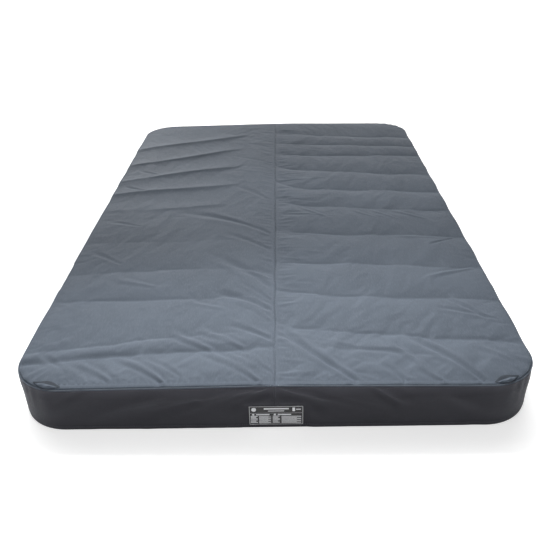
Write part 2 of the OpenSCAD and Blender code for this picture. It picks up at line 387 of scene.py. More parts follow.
MAT = {
    "top": cloth_material("top_cloth", TOP_COLOUR, sheen=0.0),
    # The seam cloth is a little darker than the top: painted shade along the seam line.
    "seam": cloth_material("seam_cloth_painted_shade", shade(TOP_COLOUR, 0.95), sheen=0.0),
    # The skirt is painted paler towards its top: painted light on its upper band.
    "skirt": cloth_material("skirt_cloth", SKIRT_COLOUR, sheen=0.12, rough=(0.5, 0.68), worn=0.2,
                            painted_top_light=(SKIRT_TOP - 0.045, SKIRT_TOP + 0.010)),
    # The corner pockets' dark inside, 0.42 of the top's colour: painted shadow.
    "pleat_shadow": cloth_material("pleat_shadow_cloth", shade(TOP_COLOUR, 0.42), sheen=0.0),
    # The welt is a little lighter than the top: a painted highlight on the cord's lit upper side.
    "welt": cloth_material("welt_cloth_painted_highlight", shade(TOP_COLOUR, 1.1), pitch=0.0009),
    "liner": cloth_material("liner_cloth", (0.028, 0.028, 0.032), pitch=0.0025, sheen=0.1),
    "thread": webbing_material("thread", (0.055, 0.06, 0.07)),
    "top_thread": webbing_material("top_thread", shade(TOP_COLOUR, 1.25)),
    "webbing": webbing_material("webbing", (0.022, 0.022, 0.025)),
    "tape": webbing_material("zip_tape", (0.03, 0.03, 0.033)),
    "foam": foam_material("bead_foam", (0.86, 0.86, 0.84)),
    "film": film_material("barrier_film", (0.78, 0.80, 0.82)),
    "channel": metal_material("mill_aluminium", (0.70, 0.71, 0.73)),
    "brass": metal_material("zip_brass", (0.55, 0.42, 0.20), 0.3),
    "clip": plastic_material("clip_acetal", (0.02, 0.02, 0.022)),
    "label": plastic_material("label_vinyl", (0.014, 0.014, 0.016), 0.5),
    "print": plastic_material("label_print", (0.55, 0.56, 0.58), 0.6),
}

# ---- swept and repeated shapes


def unit(v):
    """Vectors of the same directions, one long."""
    return v / np.maximum(np.linalg.norm(v, axis=-1, keepdims=True), 1e-9)


def resample(path, pitch):
    """Points every pitch along a line of points, and the direction at each."""
    path = np.asarray(path, float)
    s = np.concatenate([[0], np.cumsum(np.linalg.norm(np.diff(path, axis=0), axis=1))])
    at = np.arange(pitch / 2, s[-1], pitch)

    def at_length(d):
        return np.stack([np.interp(d, s, path[:, i]) for i in range(3)], 1)

    near = 0.001
    ahead, behind = at_length(np.minimum(at + near, s[-1])), at_length(np.maximum(at - near, 0))
    return at_length(at), unit(ahead - behind)


def sweep(path, section, up=(0, 0, 1), scale=1.0):
    """A closed section (across, up) swept along path, with capped ends, as points and faces."""
    path, section = np.asarray(path, float), np.asarray(section, float)
    tangent = unit(np.gradient(path, axis=0))
    across = unit(np.cross(tangent, np.broadcast_to(up, path.shape)))
    lift = np.cross(across, tangent)
    scale = np.broadcast_to(scale, len(path))[:, None]
    verts = np.stack([path + scale * (a * across + b * lift) for a, b in section], 1).reshape(-1, 3)
    return verts, tube_faces(len(path), len(section))


def round_section(radius, sides=10, flatten=1.0):
    """A circle, or an ellipse that flatten makes lower than it is wide."""
    turn = [2 * math.pi * k / sides for k in range(sides)]
    return [(radius * math.cos(a), radius * flatten * math.sin(a)) for a in turn]


def web_section(width, thick):
    """Flat webbing with rounded selvedges and a slightly crowned face."""
    w, t = width / 2, thick / 2
    edge = [(w, -0.25 * t), (w, 0.25 * t), (w - 0.35 * thick, t), (0.5 * w, 1.1 * t), (0, 1.15 * t)]
    upper = edge + [(-a, b) for a, b in edge[-2::-1]]
    return upper + [(-0.5 * w, -t), (0.5 * w, -t)]


def merged(parts):
    """The points and faces of several parts as one part."""
    verts, faces, start = [], [], 0
    for v, f in parts:
        verts.append(v)
        faces += [tuple(i + start for i in face) for face in f]
        start += len(v)
    return np.vstack(verts), faces


def stitches(points, direction, normal):
    """A thread stitch at each point: a low arch whose ends dive into the cloth."""
    normal = np.broadcast_to(normal, points.shape)
    across = unit(np.cross(direction, normal))
    lift = np.cross(across, direction)
    sides = 5
    local = [(-0.5 * STITCH_L, 0, -0.8 * THREAD_R)]
    for t, h in ((-0.34, 0.1), (0.0, 0.5), (0.34, 0.1)):
        local += [(t * STITCH_L, b, c + h * THREAD_R) for b, c in round_section(THREAD_R, sides)]
    local.append((0.5 * STITCH_L, 0, -0.8 * THREAD_R))
    tip = len(local) - 1
    ring = [[1 + r * sides + k for k in range(sides)] for r in range(3)]
    faces = [(0, ring[0][(k + 1) % sides], ring[0][k]) for k in range(sides)]
    for a, b in zip(ring, ring[1:]):
        faces += [(a[k], a[(k + 1) % sides], b[(k + 1) % sides], b[k]) for k in range(sides)]
    faces += [(ring[2][k], ring[2][(k + 1) % sides], tip) for k in range(sides)]
    local = np.array(local)
    verts = (points[:, None] + local[None, :, :1] * direction[:, None]
             + local[None, :, 1:2] * across[:, None] + local[None, :, 2:] * lift[:, None])
    all_faces = [tuple(i + n * len(local) for i in f) for n in range(len(points)) for f in faces]
    return verts.reshape(-1, 3), all_faces


def stitch_run(path, normal, pitch=STITCH_PITCH):
    """A row of stitches along a line of points."""
    points, direction = resample(path, pitch)
    return stitches(points, direction, normal)


def add_piece(name, part, material, body, replaces=()):
    """A piece of the looks, made from its points and faces, that moves with one body."""
    obj = new_mesh(name, *part, MAT[material])
    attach(obj, body)
    if replaces:
        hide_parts(*replaces)
    return obj


def add_to_half(side_name, name, part, material, stands_for=None):
    """A piece that moves with one half, and may stand for one CAD node of that half."""
    nodes = [f"{side_name}_{stands_for}"] if stands_for else []
    return add_piece(f"{side_name}_{name}", part, material, f"{side_name}_half", nodes)


# ---- the top skin

EDGE_ROLL = 0.026       # width of the roll from the flat top down to the welt
ROLL_STEPS = 7          # rings of points down the roll
EDGE_OVER_WELT = 0.0015 # the roll's end over the welt's middle
EDGE_SINK = 0.0030      # how far the top sinks towards its sewn edge
SEAM_SINK = 0.0014      # and into the centre seam
GATHER = 0.0022         # height of the gathers round the corners
VALLEY_LIFT = 0.0012    # the skin's lowest point over the vapour barrier
PILLOW = 0.0135         # height of a pillow over the creases beside it
CROWN_AT = 0.58         # where a pillow is highest, as a share of the way to its far crease
PINCH = 0.14            # depth of the sharp bottom of a crease, as a share of the pillow's height
SCALLOP = 0.011         # how much further a pillow stands out at the long edge than a crease
SKIN_SLACK = 0.022      # how much larger the simulated sheet is cut where it is slackest
SKIN_FRAMES = 12        # steps of the simulation
SKIN_REACH = 0.005      # the most that the simulation moves a point
SIM_SHARE = 0.75        # how much of the simulated movement is kept
SIM_CELL = 0.012        # cell of the simulated grid
SIM_SETTINGS = {
    "quality": 4, "mass": 0.15, "tension_stiffness": 25, "compression_stiffness": 25,
    "shear_stiffness": 8, "bending_stiffness": 0.3, "vertex_group_mass": "held",
    "vertex_group_shrink": "tight", "shrink_min": -SKIN_SLACK, "shrink_max": 0,
}
FOLD_BAND = 0.022       # the cloth turns about the centre fold within this distance of it

# Creases of the right half: distance along the cover at the seam side, how much they fall back
# towards the long edge per metre, how far they turn away where they meet the seam, and depth.
RIGHT_CREASES = [
    (-1.46, 0.09, 0.08, 1.0), (-1.12, 0.08, 0.03, 1.0), (-0.80, 0.05, 0.01, 0.95),
    (-0.40, 0.08, 0.02, 1.0), (0.00, 0.08, 0.14, 0.95), (0.32, 0.09, 0.14, 1.0),
    (0.68, 0.10, 0.10, 1.0), (1.01, 0.03, 0.02, 0.9), (1.27, 0.05, 0.03, 0.7),
    (1.55, 0.10, 0.02, 0.9),
]
# Creases of the left half, deep near the front and shallow over the middle
LEFT_CREASES = [
    (-1.60, 0.08, 0.0, 0.85), (-1.47, 0.12, -0.08, 0.50), (-1.15, 0.03, -0.12, 0.62),
    (-0.86, 0.02, -0.10, 0.38), (-0.50, 0.02, -0.10, 0.22), (-0.16, 0.02, -0.08, 0.20),
]
# Slanting crests of the left half's far end: distance along the cover, fall towards the edge
LEFT_CRESTS = [(0.04, 0.07), (0.45, 0.18), (0.84, 0.29), (1.26, 0.37), (1.63, 0.37)]


def crease_line(crease, x):
    """Where along the cover a crease lies at distance x from the seam."""
    y0, fall, turn = crease[:3]
    wander = 0.010 * np.sin(5.5 * x + 9 * y0) + 0.004 * np.sin(17 * x + 23 * y0)
    return y0 - fall * x + turn * np.exp(-x / 0.07) + wander * ease(x / 0.12)


def pillows(x, y, creases):
    """1 on the crowns, and down to 1 - depth in the creases, over the whole length.

    A pillow is a low dome between two creases, and each crease is pinched sharp at its bottom.
    """
    lines = [np.full_like(x, -HALF_L - 0.03)]
    lines += [crease_line(c, x) for c in creases]
    lines += [np.full_like(x, HALF_L + 0.07)]
    depths = [1.0] + [c[3] for c in creases] + [1.0]
    out = np.ones_like(x)
    for k in range(len(lines) - 1):
        span = np.maximum(lines[k + 1] - lines[k], 1e-4)
        s = (y - lines[k]) / span
        inside = (s >= 0) & (s <= 1)
        s = np.clip(s, 0, 1)
        climb = np.clip(s / CROWN_AT, 0, 1)
        roll = np.clip((s - CROWN_AT) / (1 - CROWN_AT), 0, 1)
        crown = np.where(s < CROWN_AT, 1 - (1 - climb) ** 2.2, 1 - roll**1.9)
        to_crease = np.minimum(s, 1 - s) * span
        crown -= PINCH * np.exp(-to_crease / 0.012)
        depth = depths[k] + (depths[k + 1] - depths[k]) * ease(s)
        depth *= 0.86 + 0.14 * value_noise(x, y, 0.16, 90 + k)
        out = np.where(inside, 1 - depth * (1 - crown), out)
    return out


def wrinkle(x, y, a, b, height, width, bend=0.0):
    """A drag wrinkle from a to b that dies out at both ends. It is a valley if height is negative."""
    ax, ay = a
    dx, dy = b[0] - ax, b[1] - ay
    length = math.hypot(dx, dy)
    t = ((x - ax) * dx + (y - ay) * dy) / length**2
    c = np.clip(t, 0, 1)
    off = ((x - ax) * -dy + (y - ay) * dx) / length - bend * length * 4 * c * (1 - c)
    ends = ease(t / 0.35) * ease((1 - t) / 0.10) * ((t > 0) & (t < 1))
    w = width * (0.40 + 0.60 * (1 - c))
    core = np.exp(-np.abs(off / w) ** 1.5)
    shoulder = np.exp(-(((np.abs(off) - 1.9 * w) / w) ** 2))
    return height * ends * (core - 0.35 * shoulder)


# Drag wrinkles: start, end, height (negative is a valley), width, bend
WRINKLES = [
    ((-0.74, -1.655), (-0.46, -1.862), 0.0075, 0.018, 0.05),
    ((-0.62, -1.66), (-0.40, -1.82), -0.0030, 0.016, 0.04),
    ((-0.90, -1.70), (-0.70, -1.84), 0.0030, 0.020, 0.05),
    ((-0.34, -1.64), (-0.05, -1.862), 0.0075, 0.018, 0.06),
    ((-0.20, -1.65), (-0.01, -1.80), -0.0036, 0.014, 0.05),
    ((-0.52, -1.47), (-0.27, -1.63), 0.0055, 0.020, 0.0),
    ((-0.40, -1.46), (-0.13, -1.62), 0.0060, 0.020, 0.05),
    ((-0.26, -1.42), (-0.01, -1.56), -0.0060, 0.020, 0.06),
    ((-0.36, -1.10), (-0.01, -1.31), -0.0075, 0.028, 0.06),
    ((-0.20, -1.20), (-0.01, -1.40), 0.0040, 0.018, 0.04),
    ((-0.48, -1.20), (-0.22, -1.30), 0.0030, 0.020, 0.0),
    ((-0.36, -0.70), (-0.01, -1.10), -0.0050, 0.034, 0.04),
    ((-0.28, -0.84), (-0.01, -1.00), 0.0035, 0.020, 0.04),
    ((-0.20, -1.02), (-0.01, -1.22), -0.0035, 0.014, 0.04),
    ((-0.66, -0.08), (-0.02, -0.45), -0.0055, 0.034, 0.08),
    ((-0.44, -0.12), (-0.10, -0.36), 0.0034, 0.022, 0.06),
    ((-0.34, -0.40), (-0.02, -0.66), -0.0030, 0.022, 0.04),
    ((-0.30, 0.36), (-0.05, 0.10), -0.0026, 0.026, 0.05),
    ((-0.90, -0.95), (-0.62, -1.06), 0.0024, 0.024, 0.0),
    ((0.00, -1.43), (0.37, -1.866), -0.0090, 0.022, -0.03),
    ((-0.01, -1.50), (0.33, -1.83), 0.0030, 0.016, -0.03),
    ((0.60, -1.52), (0.90, -1.866), -0.0085, 0.022, 0.05),
    ((0.50, -1.58), (0.66, -1.76), 0.0040, 0.020, 0.05),
    ((0.10, -1.60), (0.60, -1.66), -0.0024, 0.024, 0.0),
    ((0.50, -1.66), (0.78, -1.70), -0.0030, 0.016, 0.05),
    ((0.44, -1.74), (0.56, -1.862), -0.0040, 0.018, 0.10),
    ((0.62, -1.70), (0.74, -1.862), 0.0034, 0.018, -0.08),
    ((0.86, -1.17), (1.05, -1.40), -0.0048, 0.016, 0.03),
    ((0.78, -1.27), (1.10, -1.40), -0.0036, 0.016, 0.03),
    ((0.92, -1.60), (1.08, -1.74), 0.0030, 0.018, 0.03),
    ((0.16, -0.03), (0.34, -0.20), 0.0042, 0.014, 0.0),
    ((0.50, -0.08), (0.66, -0.22), 0.0034, 0.014, 0.0),
    ((0.62, -0.08), (0.80, -0.24), 0.0036, 0.014, 0.0),
    ((0.76, -0.08), (0.98, -0.24), 0.0040, 0.016, 0.0),
    ((0.62, -0.46), (1.12, -0.50), 0.0026, 0.018, 0.0),
    ((0.90, -0.60), (1.13, -0.47), -0.0042, 0.012, 0.0),
    ((0.80, -0.98), (1.12, -0.86), 0.0036, 0.018, 0.0),
    ((0.02, -0.14), (0.40, -0.19), 0.0030, 0.012, 0.05),
    ((0.02, -1.48), (0.10, -1.56), 0.0040, 0.012, 0.0),
    ((-1.05, 0.72), (-0.88, 0.62), -0.0040, 0.016, 0.0),
    ((-1.11, 0.41), (-0.92, 0.30), -0.0040, 0.016, 0.0),
    ((-1.09, -0.62), (-0.86, -0.80), -0.0036, 0.018, 0.0),
    ((-1.08, -0.20), (-0.84, -0.30), -0.0026, 0.018, 0.0),
    ((-1.08, -1.62), (-0.94, -1.74), -0.0036, 0.016, 0.0),
]


def seam_puckers(x, y, seed, reach, height, tilts):
    """Fine wrinkles that run into the seam, fanned and uneven along it."""
    rng = np.random.default_rng(seed)
    out = np.zeros_like(x)
    y0 = -HALF_L + 0.05
    while y0 < HALF_L - 0.05:
        length = reach * rng.uniform(0.4, 1.6)
        tilt = rng.uniform(*tilts)
        width = rng.uniform(0.005, 0.011)
        off = y - y0 - tilt * x - 0.5 * rng.uniform(-1, 1) * x * x
        band = np.abs(off) < 5 * width
        sign = 1 if rng.uniform() < 0.6 else -0.8
        depth = sign * height * rng.uniform(0.25, 1.0)
        near = ease((x[band] - 0.008) / 0.014)
        out[band] += depth * near * np.exp(-((off[band] / width) ** 2)) * np.exp(-x[band] / length)
        y0 += rng.uniform(0.014, 0.050)
    return out


def edge_puckers(y, to_edge, seed):
    """Short radial puckers along the sewn perimeter."""
    rng = np.random.default_rng(seed)
    out = np.zeros_like(y)
    y0 = -HALF_L + 0.2
    while y0 < HALF_L - 0.2:
        tilt = rng.uniform(-0.6, 0.6)
        width = rng.uniform(0.006, 0.014)
        off = y - y0 - tilt * to_edge
        depth = rng.uniform(-0.0030, 0.0030)
        out += depth * np.exp(-((off / width) ** 2)) * np.exp(-to_edge / rng.uniform(0.02, 0.09))
        y0 += rng.uniform(0.03, 0.10)
    return out


def edge_distance(x, y):
    """Distance in from the cover's outline, for points inside it."""
    qx, qy = np.abs(x) - (HALF_W - CORNER_R), np.abs(y) - (HALF_L - CORNER_R)
    outside = np.hypot(np.maximum(qx, 0), np.maximum(qy, 0))
    return CORNER_R - outside - np.minimum(np.maximum(qx, qy), 0)


def corner_gathers(x, y):
    """Waves round the four corners, where the edge was eased into the curve: 0 on the straights."""
    dx = np.abs(x) - (HALF_W - CORNER_R)
    dy = np.abs(y) - (HALF_L - CORNER_R)
    angle = np.degrees(np.arctan2(np.maximum(dy, 1e-6), np.maximum(dx, 1e-6)))
    share = ease(np.minimum(dx, dy) / 0.02 + 0.5) * ease(angle / 14) * ease((90 - angle) / 14)
    wave = np.sin(np.radians(angle) * 21 + 1.3 * np.sin(np.radians(angle) * 7) + np.sign(x) * 0.8)
    return wave * share


def shape_share(x, y):
    """The pillows, creases and crests of both halves, about 0 to 1."""
    ax = np.abs(x)
    right = pillows(ax, y, RIGHT_CREASES) * (0.92 + 0.08 * value_noise(x, y, 0.45, 3))
    near = pillows(ax, y, LEFT_CREASES)
    near_share = 1 - ease((y + 0.30) / 0.5)
    calm = 0.70 + 0.16 * value_noise(x, y, 0.38, 5)
    crest = np.zeros_like(ax)
    for k, (y0, fall) in enumerate(LEFT_CRESTS):
        off = y - (y0 - fall * ax + 0.014 * np.sin(6 * ax + 2 * k))
        soft = np.sqrt(off**2 + 0.004**2) - 0.004
        crest += np.where(off > 0, np.exp(-soft / 0.085), np.exp(-soft / 0.045))
    crest_share = ease((ax - 0.22) / 0.30) * ease((y + 0.15) / 0.3)
    left = near * near_share + calm * (1 - near_share)
    left = left * (1 - 0.75 * crest_share) + crest * crest_share
    return np.where(x > 0, right, left)


PLEATS = [(-0.975, 0.062), (0.990, 0.056)]      # the front corner pockets: place across, half length


def skin_height(x, y):
    """Height of the top fabric over each point of the plan."""
    ax = np.abs(x)
    edge = edge_distance(x, y)
    floor = FILM_TOP + VALLEY_LIFT - SLOPE * ax
    seam_fade = 0.55 + 0.45 * ease(ax / 0.14)
    z = floor + PILLOW * shape_share(x, y) * seam_fade
    for a, b, height, width, bend in WRINKLES:
        z += wrinkle(x, y, a, b, height, width, bend)
    z += np.where(x > 0, seam_puckers(ax, y, 11, 0.20, 0.0026, (-0.30, 0.12)),
                  seam_puckers(ax, y, 12, 0.12, 0.0022, (0.05, 0.75)))
    z += edge_puckers(y, edge, 21)
    z += GATHER * corner_gathers(x, y) * np.exp(-(edge - EDGE_ROLL) / 0.035)
    z += 0.0005 * value_noise(x, y, 0.09, 8) + 0.0002 * value_noise(x, y, 0.025, 9)
    z -= SEAM_SINK * np.exp(-((ax / 0.012) ** 2))
    z -= EDGE_SINK * np.exp(-(edge - EDGE_ROLL) / 0.05)
    return within_skin_room(x, z)


def within_skin_room(x, z):
    """Heights held softly between the vapour barrier and the plane that the folded half closes on."""
    low = FILM_TOP + VALLEY_LIFT - 0.0010 - SLOPE * np.abs(x)
    high = FOLD_Z - 0.0006 - 0.4 * SLOPE * np.abs(x)
    room = high - low
    t = (z - low) / room
    t = np.where(t > 0.8, 0.8 + 0.2 * np.tanh((t - 0.8) / 0.2), t)
    return low + room * np.maximum(t, 0)


def cloth_buckles():
    """Cloth simulation of the top sheet, cut a little large: how far each point of a grid moves.

    The grid is simulated between its seams, which are held, over the shape it is laid to.
    Returns the grid's x and y, and the movement at each point.
    """
    scene = bpy.context.scene
    gx = np.linspace(-HALF_W + 0.006, HALF_W - 0.006, int(2 * HALF_W / SIM_CELL) | 1)
    gy = np.linspace(-HALF_L + 0.006, HALF_L - 0.006, int(2 * HALF_L / SIM_CELL))
    x, y = np.meshgrid(gx, gy)
    ax, edge = np.abs(x), edge_distance(x, y)
    z = skin_height(x, y)
    co = place(x, y, z).reshape(-1, 3)
    sheet = new_mesh("sheet_to_settle", co, grid_faces(len(gy), len(gx)))
    held = 1 - ease((ax - 0.008) / 0.030) * ease((edge - 0.020) / 0.040)
    held = np.maximum(held, 0.10)
    seam_slack = np.where(x > 0, np.exp(-ax / 0.22), 0.55 * np.exp(-ax / 0.13))
    slack = np.maximum(seam_slack, ease((-y - 1.30) / 0.35) * 0.8)
    slack = np.maximum(slack, 0.10 + 0.22 * ease(value_noise(x, y, 0.42, 31)))
    tight = 1 - slack
    shades = 20
    for name, weights in (("held", held), ("tight", tight)):
        group = sheet.vertex_groups.new(name=name)
        steps = np.round(np.clip(weights, 0, 1).ravel() * shades).astype(int)
        for step in range(1, shades + 1):
            group.add(np.where(steps == step)[0].tolist(), step / shades, "REPLACE")
    cloth = sheet.modifiers.new("cloth", "CLOTH")
    for key, value in SIM_SETTINGS.items():
        setattr(cloth.settings, key, value)
    cloth.settings.effector_weights.gravity = 0
    cloth.collision_settings.use_collision = False
    cloth.point_cache.frame_start = 1
    cloth.point_cache.frame_end = SKIN_FRAMES
    for step in range(1, SKIN_FRAMES + 1):
        scene.frame_set(step)
    after = np.empty(co.size)
    settled = sheet.evaluated_get(bpy.context.evaluated_depsgraph_get())
    settled.data.vertices.foreach_get("co", after)
    bpy.data.objects.remove(sheet)
    scene.frame_set(1)
    return gx, gy, (after.reshape(-1, 3) - co).reshape(len(gy), len(gx), 3)


def buckle_at(x, y, grid):
    """The settled grid's rise or fall at each point, capped softly."""
    gx, gy, move = grid
    fx = (x - gx[0]) / (gx[1] - gx[0])
    fy = (y - gy[0]) / (gy[1] - gy[0])
    ix, iy = np.clip(fx.astype(int), 0, len(gx) - 2), np.clip(fy.astype(int), 0, len(gy) - 2)
    fx, fy = ease(fx - ix), ease(fy - iy)
    dz = move[..., 2] * ease((np.abs(gx) - 0.010) / 0.040)
    near = dz[iy, ix] * (1 - fx) + dz[iy, ix + 1] * fx
    far = dz[iy + 1, ix] * (1 - fx) + dz[iy + 1, ix + 1] * fx
    return SKIN_REACH * np.tanh(SIM_SHARE * (near * (1 - fy) + far * fy) / SKIN_REACH)


def skin_columns():
    """Shares of the half width, fine beside the seam and even after that."""
    near = [0.002, 0.004, 0.0065, 0.010, 0.014, 0.019, 0.025, 0.032, 0.040]
    w = HALF_W - EDGE_ROLL
    side = np.concatenate([near, np.linspace(0.049, w, 104)]) / w
    return np.concatenate([-side[::-1], [0.0], side])


def skin_rows():
    """Distances along the cover: even in the middle, by equal arc steps in the corners."""
    r = CORNER_R - EDGE_ROLL
    middle = HALF_L - CORNER_R
    corner = middle + r * np.sin(np.radians(np.linspace(0, 90, 27)[1:]))
    return np.concatenate([-corner[::-1], np.linspace(-middle, middle, 372), corner])


def half_width_at(y, inset):
    """Half the width of the outline, moved in by inset, at a place along the cover."""
    past = max(0.0, abs(y) - (HALF_L - CORNER_R))
    r = CORNER_R - inset
    return HALF_W - CORNER_R + math.sqrt(max(0.0, r * r - past * past))


def handle_room(p, n):
    """1 where a handle hangs against the long sides, and 0 well away from it."""
    beside = np.abs(np.abs(p[:, 1]) - HANDLE_Y) - (HANDLE[1].y - HANDLE[0].y) / 2
    return ease((0.065 - beside) / 0.05) * n[:, 0] ** 4


def sewn_edge(p, n):
    """How far out the sewn edge stands at outline points p: out at a pillow, in at a crease."""
    inner = p - n * (EDGE_ROLL + 0.02)
    nearby = [shape_share(inner[:, 0], inner[:, 1] + step) for step in np.linspace(-0.07, 0.07, 9)]
    return SCALLOP * (np.mean(nearby, 0) - 0.55) * np.abs(n[:, 0]) * (1 - handle_room(p, n))


def make_top_skin():
    """The one sheet over both halves. Returns it with its grid and its edge rings, as points."""
    cols, rows = skin_columns(), skin_rows()
    x = np.array([cols * half_width_at(y, EDGE_ROLL) for y in rows])
    y = np.repeat(rows[:, None], len(cols), 1)
    z = skin_height(x, y)
    z = within_skin_room(x, z + buckle_at(x, y, cloth_buckles()))
    grid = place(x, y, z)
    verts = grid.reshape(-1, 3)
    faces = grid_faces(len(rows), len(cols))
    loop = grid_rim(len(rows), len(cols))
    edge = verts[loop]
    straight = (HALF_W - CORNER_R, HALF_L - CORNER_R)
    out = unit(edge[:, :2] - np.clip(edge[:, :2], np.negative(straight), straight))
    swell = sewn_edge(edge[:, :2] + out * EDGE_ROLL, out)
    gather = corner_gathers(edge[:, 0], edge[:, 1])
    fine = value_noise(edge[:, 0] * 2 + edge[:, 1], edge[:, 1] - edge[:, 0], 0.030, 15)
    low = np.array([welt_z(p[0]) for p in edge]) + EDGE_OVER_WELT
    rings = []
    for k in range(1, ROLL_STEPS + 1):
        a = math.radians(90 * k / ROLL_STEPS)
        push = EDGE_ROLL * math.sin(a) + swell * math.sin(a)
        push += (GATHER * gather + 0.0009 * fine) * math.sin(2 * a)
        ring = edge.copy()
        ring[:, :2] += out * push[:, None]
        ring[:, 2] = low + (edge[:, 2] - low) * math.cos(a) ** 0.9 if k < ROLL_STEPS else low
        rings.append(ring)
    count = len(loop)
    ids = [np.array(loop)] + [len(verts) + k * count + np.arange(count) for k in range(ROLL_STEPS)]
    for a, b in zip(ids, ids[1:]):
        for i in range(count):
            j = (i + 1) % count
            faces.append((a[j], a[i], b[i], b[j]))
    obj = new_mesh("top_skin", np.vstack([verts] + rings), faces, MAT["top"])
    return obj, grid, rings


def declare_top_skin(obj):
    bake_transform(obj)
    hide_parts("left_top_panel", "right_top_panel")


SEAM_HALF = 0.0055      # half the width of the felled centre seam


def down_the_edge(rings, end):
    """The y and z of the rolled edge where the seam comes over it, from the top down."""
    at = [np.argmin(np.abs(r[:, 0]) + (r[:, 1] * end < 0)) for r in rings]
    return np.array([r[i, 1:] for r, i in zip(rings, at)])


def make_seam_strip(grid, rings):
    """The flat-felled centre seam with a groove down its middle, and a row of stitches each side."""
    profile = [(-1, -0.0012), (-0.97, 0.0002), (-0.7, 0.0007), (-0.35, 0.0007), (-0.12, 0.0004)]
    profile += [(0, -0.0010)] + [(-a, b) for a, b in profile[::-1]]
    middle = grid.shape[1] // 2
    y, z = grid[:, middle, 1], grid[:, [middle - 3, middle + 3], 2].mean(1)
    z = np.convolve(np.pad(z, 2, mode="edge"), np.ones(5) / 5, mode="valid")
    front, back = down_the_edge(rings, -1), down_the_edge(rings, 1)
    line = np.vstack([front[::-1], np.stack([y, z], 1), back])
    turn = unit(np.gradient(line, axis=0)) @ np.array([[0, 1.0], [-1.0, 0]])
    ridges = [np.column_stack([np.full(len(line), a * SEAM_HALF), line + turn * b]) for a, b in profile]
    strip = np.stack(ridges, 1).reshape(-1, 3), grid_faces(len(line), len(profile))
    runs = [stitch_run(place(side * 0.55 * SEAM_HALF, y, z + 0.0010), (0, 0, 1)) for side in (-1, 1)]
    pieces = (("seam_strip", strip, "seam"), ("seam_stitching", merged(runs), "top_thread"))
    for name, part, material in pieces:
        piece = new_mesh(name, *part, MAT[material])
        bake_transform(piece)


def make_edge_stitching(rings):
    """A row of stitches round each half's rolled edge."""
    upper, line, lower = rings[2:5]
    tangent = unit(np.roll(line, -1, 0) - np.roll(line, 1, 0))
    normal = unit(np.cross(tangent, upper - lower))
    normal *= np.where(normal[:, 2:] < 0, -1, 1)
    for side_name, side in HALVES:
        order = np.where(line[:, 0] * side > FOLD_BAND + 0.003)[0]
        gaps = np.diff(order)
        if side < 0 and gaps.max() > 1:
            order = np.roll(order, -np.argmax(gaps) - 1)
        path = line[order]
        points, direction = resample(path, STITCH_PITCH)
        nearest = ((points[:, None, :2] - path[None, :, :2]) ** 2).sum(-1).argmin(1)
        up = normal[order][nearest]
        part = stitches(points + up * 0.0003, direction, up)
        add_to_half(side_name, "edge_stitching", part, "top_thread")


def lens(face, size, shift, lift):
    """An eye-shaped piece of cloth lying on a face of points, puffed by lift and closed underneath."""
    a, b = np.meshgrid(np.linspace(-1, 1, 41), np.linspace(-1, 1, 15), indexing="ij")
    open_by = np.maximum(1 - a**2, 0.02) ** 0.75
    u, v = a * size[0], shift + b * size[1] * open_by
    fu, fv = (u + 1) / 2 * (face.shape[0] - 1), (v + 1) / 2 * (face.shape[1] - 1)
    iu = np.clip(fu.astype(int), 0, face.shape[0] - 2)
    iv = np.clip(fv.astype(int), 0, face.shape[1] - 2)
    fu, fv = (fu - iu)[..., None], (fv - iv)[..., None]
    on = (face[iu, iv] * (1 - fu) + face[iu + 1, iv] * fu) * (1 - fv)
    on += (face[iu, iv + 1] * (1 - fu) + face[iu + 1, iv + 1] * fu) * fv
    normal = unit(np.cross(np.gradient(on, axis=0), np.gradient(on, axis=1)))
    normal *= np.sign(normal[..., 2].mean())
    raised = (lift(a, b) * open_by * np.sqrt(np.maximum(1 - b**2, 0)) + 0.0009)[..., None]
    verts = np.vstack([(on + normal * raised).reshape(-1, 3), (on - normal * 0.002).reshape(-1, 3)])
    rows, cols = a.shape
    upper = grid_faces(rows, cols)
    faces = upper + [tuple(i + rows * cols for i in f[::-1]) for f in upper]
    rim = grid_rim(rows, cols)
    for i, j in zip(rim, rim[1:] + rim[:1]):
        faces.append((j, i, i + rows * cols, j + rows * cols))
    return verts, faces


def make_pleat(side_name, px, half, rings):
    """The pocket of eased cloth at a front corner: a dark lens as its inside, which is painted shadow,
    and the puffed lip over it.
    """
    rolled = np.stack(rings[:-1])
    front = np.where((rolled[0, :, 1] < 0) & (np.abs(rolled[0, :, 0] - px) < 2 * half))[0]
    front = front[np.argsort(rolled[0, front, 0])]
    steps = np.arange(len(front))
    at = np.interp(px + np.linspace(-half, half, 61), rolled[0, front, 0], steps)
    lines = [np.stack([np.interp(at, steps, ring[front, k]) for k in range(3)], 1) for ring in rolled]
    tangent = unit(np.gradient(lines[0][:, :2], axis=0))
    inward = np.stack([-tangent[:, 1], tangent[:, 0]], 1)
    for inset in (0.008, 0.016, 0.024):
        xy = lines[2][:, :2] + inward * (EDGE_ROLL * 0.43 + inset)
        lines.insert(0, np.column_stack([xy, skin_height(xy[:, 0], xy[:, 1])]))
    face = np.stack(lines, 1)
    # A dark lens a little larger than the lip, far darker than the top: painted shadow in the pocket's
    # hollow.
    inside = lens(face, (0.98, 0.86), 0.05, lambda a, b: 0.0012)
    lip = lens(face, (0.80, 0.52), 0.26, lambda a, b: 0.0085 + 0.0012 * np.sin(9 * a + 3 * b + px))
    add_to_half(side_name, "corner_pleat_shadow", inside, "pleat_shadow")
    add_to_half(side_name, "corner_pleat", lip, "top")


# ---- skirts and welts

HEM = 0.022             # height of the doubled hem
FABRIC_MIN = 0.0008     # the least that the skirt stands out of the CAD
LABEL_X = (LABEL[0].x + LABEL[1].x) / 2

